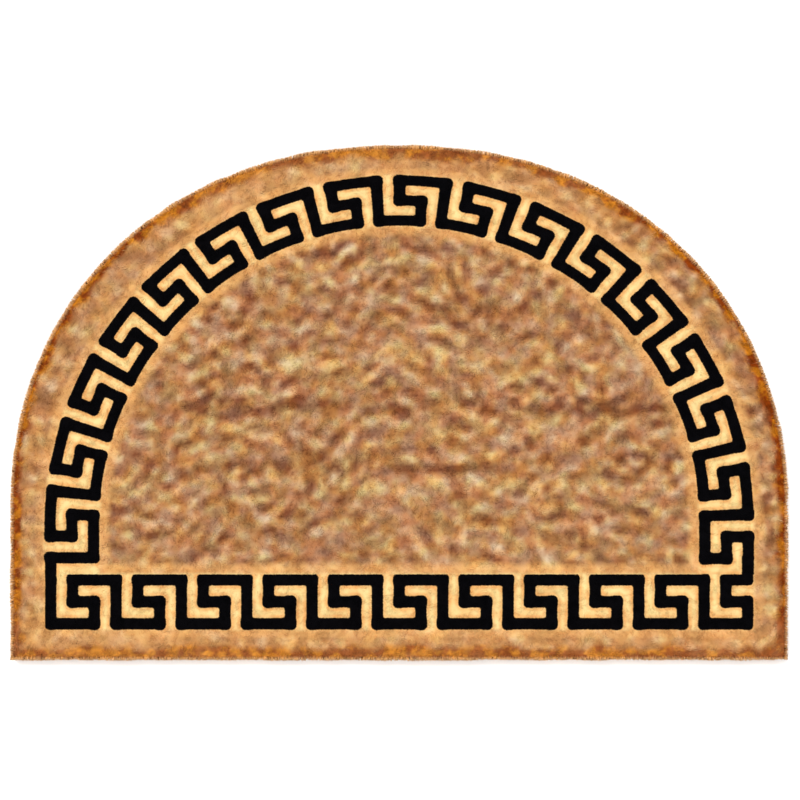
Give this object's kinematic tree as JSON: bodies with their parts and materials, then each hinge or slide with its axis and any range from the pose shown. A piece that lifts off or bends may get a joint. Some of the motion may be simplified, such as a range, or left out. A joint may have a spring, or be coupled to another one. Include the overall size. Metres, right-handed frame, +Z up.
{
  "type": "half-round coir doormat",
  "caption": "Half-round doormat of short dense coir pile, with one straight edge, square lower corners, a round far side and a black Greek key border.",
  "frame": {"origin": "on the floor, at the middle of the footprint's bounding box", "axes": "+X along the straight edge, +Y towards the round side, +Z up through the pile"},
  "size_m": [0.6006, 0.397, 0.015],
  "materials": {
    "coir": "matt, natural coir pile, printed black along the border"
  },
  "bodies": {
    "root": {"coir_mat": "coir"}
  },
  "joints": []
}
